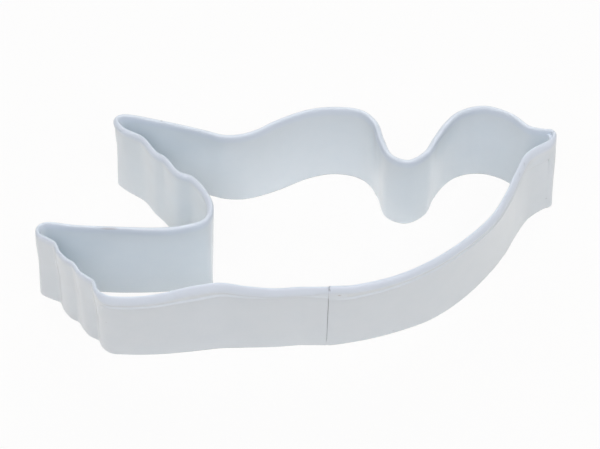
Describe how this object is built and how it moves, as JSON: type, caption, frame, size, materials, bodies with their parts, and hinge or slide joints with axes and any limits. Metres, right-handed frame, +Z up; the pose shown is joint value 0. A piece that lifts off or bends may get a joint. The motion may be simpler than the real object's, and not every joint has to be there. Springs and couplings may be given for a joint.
{
  "type": "cookie cutter",
  "caption": "Open dove-shaped cookie cutter bent from a white coated steel strip, with a hemmed rim for pressing and a plain lower cutting edge.",
  "frame": {"origin": "middle of the footprint on the plane of the cutting edge", "axes": "+X from tail to beak, +Y from the seam on the belly towards the back, +Z up from the cutting edge to the hemmed rim"},
  "size_m": [0.1134, 0.0512, 0.0252],
  "materials": {
    "white_enamel": "semi-gloss white coating",
    "tinplate": "bright tinned steel, bare at the cutting edge",
    "weld": "spot-weld nugget, dull grey"
  },
  "bodies": {
    "root": {"steel_strip": "tinplate", "outer_coat": "white_enamel", "inner_coat": "white_enamel", "seam_weld_bottom": "weld", "seam_weld_middle": "weld", "seam_weld_top": "weld"}
  },
  "joints": []
}
